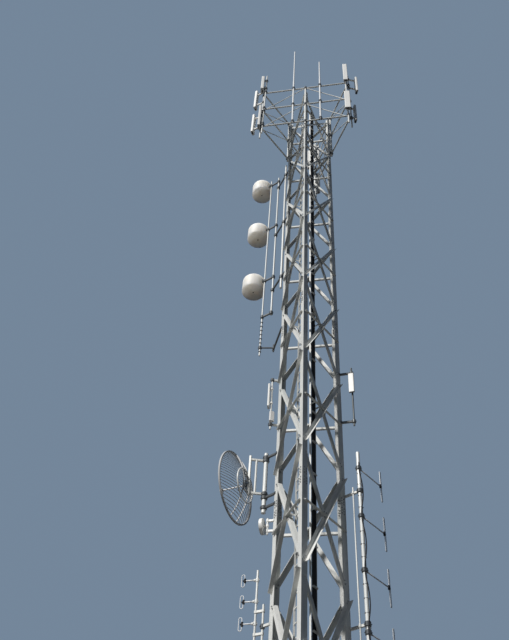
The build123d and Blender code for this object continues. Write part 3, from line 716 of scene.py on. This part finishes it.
def dipole_array(name, leg, array, node, clamp):
    """Folded dipoles of round tube on booms, with dark joints and mast clamps."""
    (angle, reach), diameter, levels, facing, boom, (height, width) = array
    mast = leg + heading(angle) * reach
    along = heading(facing)
    tubes = bmesh.new()
    joints = bmesh.new()
    clamps = bmesh.new()
    for level in levels:
        start = mast + UP * level
        tip = start + along * boom
        sweep(tubes, [start + along * (diameter / 2), tip], BOOM_DIAMETER / 2, 12)
        centre = tip + along * (width / 2)
        loop = slot_path(centre, along, height, width - LOOP_INSET)
        sweep(tubes, loop, LOOP_TUBE_RADIUS, 8, closed=True)
        turn(joints, tip, UP, JOINT_BODY, 12)
        turn(joints, tip - along * JOINT_SETBACK, along, JOINT_NECK, 12)
        collar(clamps, mast, level, diameter, DIPOLE_CLAMP_HEIGHT, DIPOLE_CLAMP_SHARE * diameter)
        turn(clamps, start + along * (diameter / 2), along, CLASP, 12)
    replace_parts(smooth(new_piece(name, tubes, ALUMINIUM)), node)
    new_piece(name + "_joints", joints, CABLE)
    new_piece(name + "_clamps", clamps, clamp)


def mast_cable():
    """Black coaxial cable up the right mast, in front at its clamps and to the right between them."""
    (angle, reach), diameter, levels = RIGHT_DIPOLES[:3]
    mast = RIGHT_LEG + heading(angle) * reach
    spacing = (levels[-1] - levels[0]) / (len(levels) - 1)
    mesh = bmesh.new()
    points = []
    low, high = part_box("right_dipole_cable")
    for step in range(COAX_STEPS + 1):
        level = low[2] + (high[2] - low[2]) * step / COAX_STEPS
        swing = cos(2 * pi * (level - levels[0]) / spacing)
        side = heading(COAX_HEADING - COAX_SWING * swing)
        points.append(mast + side * (diameter / 2 + COAX_REACH - COAX_TUCK * swing) + UP * level)
    sweep(mesh, points, COAX_RADIUS, 10)
    piece = smooth(new_piece("mast_coax", mesh, CABLE))
    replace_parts(piece, "right_dipole_cable")
    ties = bmesh.new()
    level = low[2] + MAST_TIE_START
    while level < high[2]:
        collar(ties, mast, level, diameter, *MAST_TIE)
        level += MAST_TIE_PITCH
    new_piece("mast_ties", ties, BOLT)


def cable_hangers():
    """Pale snap-in hangers across the row of feeder cables."""
    mesh = bmesh.new()
    face = FACES[2]
    along = (face[1] - face[0]).normalized()
    outside = UP.cross(along)
    middle = FACE_WIDTH - CABLE_LADDER_PLACE
    level = HANGER_BOTTOM
    while level < BAY_COUNT * BAY_HEIGHT - HANGER_TOP_DROP:
        for number in range(CABLE_COUNT):
            x = middle + (number - (CABLE_COUNT - 1) / 2) * CABLE_PITCH
            seat = face_point(face, x, CABLE_FACE - HANGER_INSET, level)
            turn(mesh, seat, outside, HANGER, 8)
        level += HANGER_PITCH
    new_piece("cable_hangers", mesh, PANEL)


def dish_hub():
    """Round tube behind the grid that ties its ribs together, and a bolted plate at the hub."""
    mast = LEFT_LEG + heading(DISH_MAST[0]) * DISH_MAST[1]
    boresight = heading(DISH_HEADING)
    sideways = UP.cross(boresight)
    centre = mast + boresight * (DISH_REACH + HUB_RING_BACK) + sideways * DISH_SIDE + UP * DISH_LEVEL
    mesh = bmesh.new()
    points = []
    for step in range(HUB_RING_STEPS):
        angle = 2 * pi * step / HUB_RING_STEPS
        points.append(centre + (sideways * cos(angle) + UP * sin(angle)) * HUB_RING_RADIUS)
    sweep(mesh, points, HUB_TUBE_RADIUS, 10, closed=True)
    smooth(new_piece("dish_hub_ring", mesh, PIPE))
    mesh = bmesh.new()
    turn(mesh, centre, boresight, HUB_PLATE, 40)
    for step in range(HUB_BOLT_COUNT):
        angle = 2 * pi * step / HUB_BOLT_COUNT
        spoke = (sideways * cos(angle) + UP * sin(angle)) * HUB_BOLT_CIRCLE_RADIUS
        bolt(mesh, centre + spoke - boresight * HUB_BOLT_BACK, -boresight, HUB_BOLT_GRIP, HUB_BOLT_SIZE)
    new_piece("dish_hub_plate", mesh, BOLT)


def dish_collars():
    """Dark clamps on the dish's mast."""
    mesh = bmesh.new()
    mast = LEFT_LEG + heading(DISH_MAST[0]) * DISH_MAST[1]
    for level in DISH_MAST_LEVELS:
        collar(mesh, mast, level, DISH_MAST_DIAMETER, *DISH_CLAMP)
    new_piece("dish_clamps", mesh, CLAMP)


def pipe_collars():
    """Dark clamps on the upright pipes, where their arms hold them."""
    mesh = bmesh.new()
    for leg, angle, place, diameter, levels in PIPE_CLAMPS:
        for level in levels:
            collar(mesh, leg + heading(angle) * place, level, diameter, *ARM_CLAMP)
    leg_pipe = heel(LEFT_LEG) + heading(FM_HEADING) * FM_LEG_PLACE
    mast = fm_mast()
    feed = mast + heading(FM_FEED_HEADING) * FM_FEED_PLACE
    for level in STANDOFF_LEVELS:
        collar(mesh, leg_pipe, level, FM_LEG_DIAMETER, *FM_LEG_CLAMP)
    for level in STANDOFF_LEVELS + RADOME_LEVELS + [FM_LOW_ARM]:
        collar(mesh, mast, level, FM_MAST_DIAMETER, *FM_MAST_CLAMP)
    for level in RADOME_LEVELS + [FM_LOW_ARM, FM_LINK]:
        collar(mesh, feed, level, FM_FEED_DIAMETER, *FM_FEED_CLAMP)
    new_piece("pipe_clamps", mesh, CLAMP)


def panel_fittings():
    """Clamps of the head panels on their pipes, and the connectors under each panel."""
    clamps = bmesh.new()
    plugs = bmesh.new()
    for leg, side, angle, arm, bottom, (length, width, depth) in HEAD_PANELS:
        pipe = frame_point(leg, side * (FRAME_HALF_WIDTH - END_PIPE_INSET), BAR_DIAMETER + FIT)
        for share in (PANEL_CLAMP_SHARE, 1 - PANEL_CLAMP_SHARE):
            collar(clamps, pipe, bottom + share * length, BAR_DIAMETER, *PANEL_CLAMP)
        centre = pipe + heading(angle) * (BAR_DIAMETER / 2 + arm + depth / 2)
        for step in PLUG_STEPS:
            seat = centre + heading(angle + 90) * (step * width / PLUG_SPACES) + UP * bottom
            turn(plugs, seat, -UP, PLUG, 10)
    new_piece("panel_clamps", clamps, CLAMP)
    new_piece("panel_plugs", plugs, CABLE)


# Camera, floor and light


def add_camera():
    """Camera at the photograph's place, pitch and roll."""
    azimuth = radians(CAMERA_AZIMUTH)
    pitch = radians(CAMERA_PITCH)
    roll = radians(CAMERA_ROLL)
    forward = Vector((sin(azimuth) * cos(pitch), cos(azimuth) * cos(pitch), sin(pitch)))
    level = Vector((cos(azimuth), -sin(azimuth), 0))
    up = level.cross(forward)
    right = cos(roll) * level + sin(roll) * up
    top = -sin(roll) * level + cos(roll) * up
    data = bpy.data.cameras.new("camera")
    data.sensor_width = SENSOR
    data.lens = FOCAL_PIXELS * SENSOR / LONG_SIDE_PIXELS
    data.clip_end = VIEW_REACH
    camera = bpy.data.objects.new("camera", data)
    bpy.context.collection.objects.link(camera)
    rotation = Matrix((right, top, -forward)).transposed()
    camera.matrix_world = Matrix.Translation(CAMERA_PLACE) @ rotation.to_4x4()
    bpy.context.scene.camera = camera


def seen_rays(nodes, links):
    """1 for rays that see a surface straight, in a gloss or through glass, and 0 for light."""
    path = nodes.new("ShaderNodeLightPath")
    seen = path.outputs["Is Camera Ray"]
    for ray in ("Is Glossy Ray", "Is Transmission Ray"):
        either = nodes.new("ShaderNodeMath")
        either.operation = "MAXIMUM"
        links.new(seen, either.inputs[0])
        links.new(path.outputs[ray], either.inputs[1])
        seen = either.outputs[0]
    return seen


def add_floor():
    """Plain pale floor that throws little light back up."""
    material, nodes, links, shader = new_material("floor_pale", FLOOR_COLOR, 0.8)
    tone = ramp(nodes, links, seen_rays(nodes, links), [(0, FLOOR_BOUNCE), (1, FLOOR_COLOR)])
    links.new(tone, shader.inputs["Base Color"])
    place = (0, 0, -FLOOR_DROP)
    bpy.ops.mesh.primitive_circle_add(vertices=96, radius=FLOOR_RADIUS, fill_type="NGON", location=place)
    floor = bpy.context.object
    floor.name = "floor"
    floor.data.materials.append(material)


def add_light():
    """Sun from the upper left behind the camera, a dim sky that lights, and a plain one that is seen."""
    data = bpy.data.lights.new("key", "SUN")
    data.energy = SUN_ENERGY
    data.angle = radians(SUN_SPREAD)
    data.color = SUN_COLOR
    key = bpy.data.objects.new("key", data)
    bpy.context.collection.objects.link(key)
    key.rotation_euler = SUN_PLACE.to_track_quat("Z", "Y").to_euler()
    world = bpy.data.worlds.new("surround")
    bpy.context.scene.world = world
    world.use_nodes = True
    nodes = world.node_tree.nodes
    links = world.node_tree.links
    nodes.clear()
    output = nodes.new("ShaderNodeOutputWorld")
    blend = nodes.new("ShaderNodeMixShader")
    fill = nodes.new("ShaderNodeBackground")
    place = nodes.new("ShaderNodeTexCoord")
    split = nodes.new("ShaderNodeSeparateXYZ")
    links.new(place.outputs["Generated"], split.inputs[0])
    height = nodes.new("ShaderNodeMapRange")
    height.inputs["From Min"].default_value = -1
    links.new(split.outputs["Z"], height.inputs["Value"])
    links.new(ramp(nodes, links, height.outputs["Result"], SKY_LIGHT), fill.inputs["Color"])
    seen = nodes.new("ShaderNodeBackground")
    seen.inputs["Color"].default_value = BACKGROUND
    links.new(seen_rays(nodes, links), blend.inputs["Fac"])
    links.new(fill.outputs[0], blend.inputs[1])
    links.new(seen.outputs[0], blend.inputs[2])
    links.new(blend.outputs[0], output.inputs["Surface"])
    bpy.context.scene.view_settings.view_transform = "Standard"


add_camera()
add_floor()
add_light()
dress_nodes()
brace_bolts()
splice_bolts()
anchor_bolts()
head_collars()
bar_caps()
drum_covers()
drain_hole_shades()
feed_ties()
dipole_array("left_dipole_tubes", LEFT_LEG, LEFT_DIPOLES, "left_dipoles", PIPE)
dipole_array("right_dipole_tubes", RIGHT_LEG, RIGHT_DIPOLES, "right_dipoles", CLAMP)
mast_cable()
cable_hangers()
dish_hub()
dish_collars()
pipe_collars()
panel_fittings()
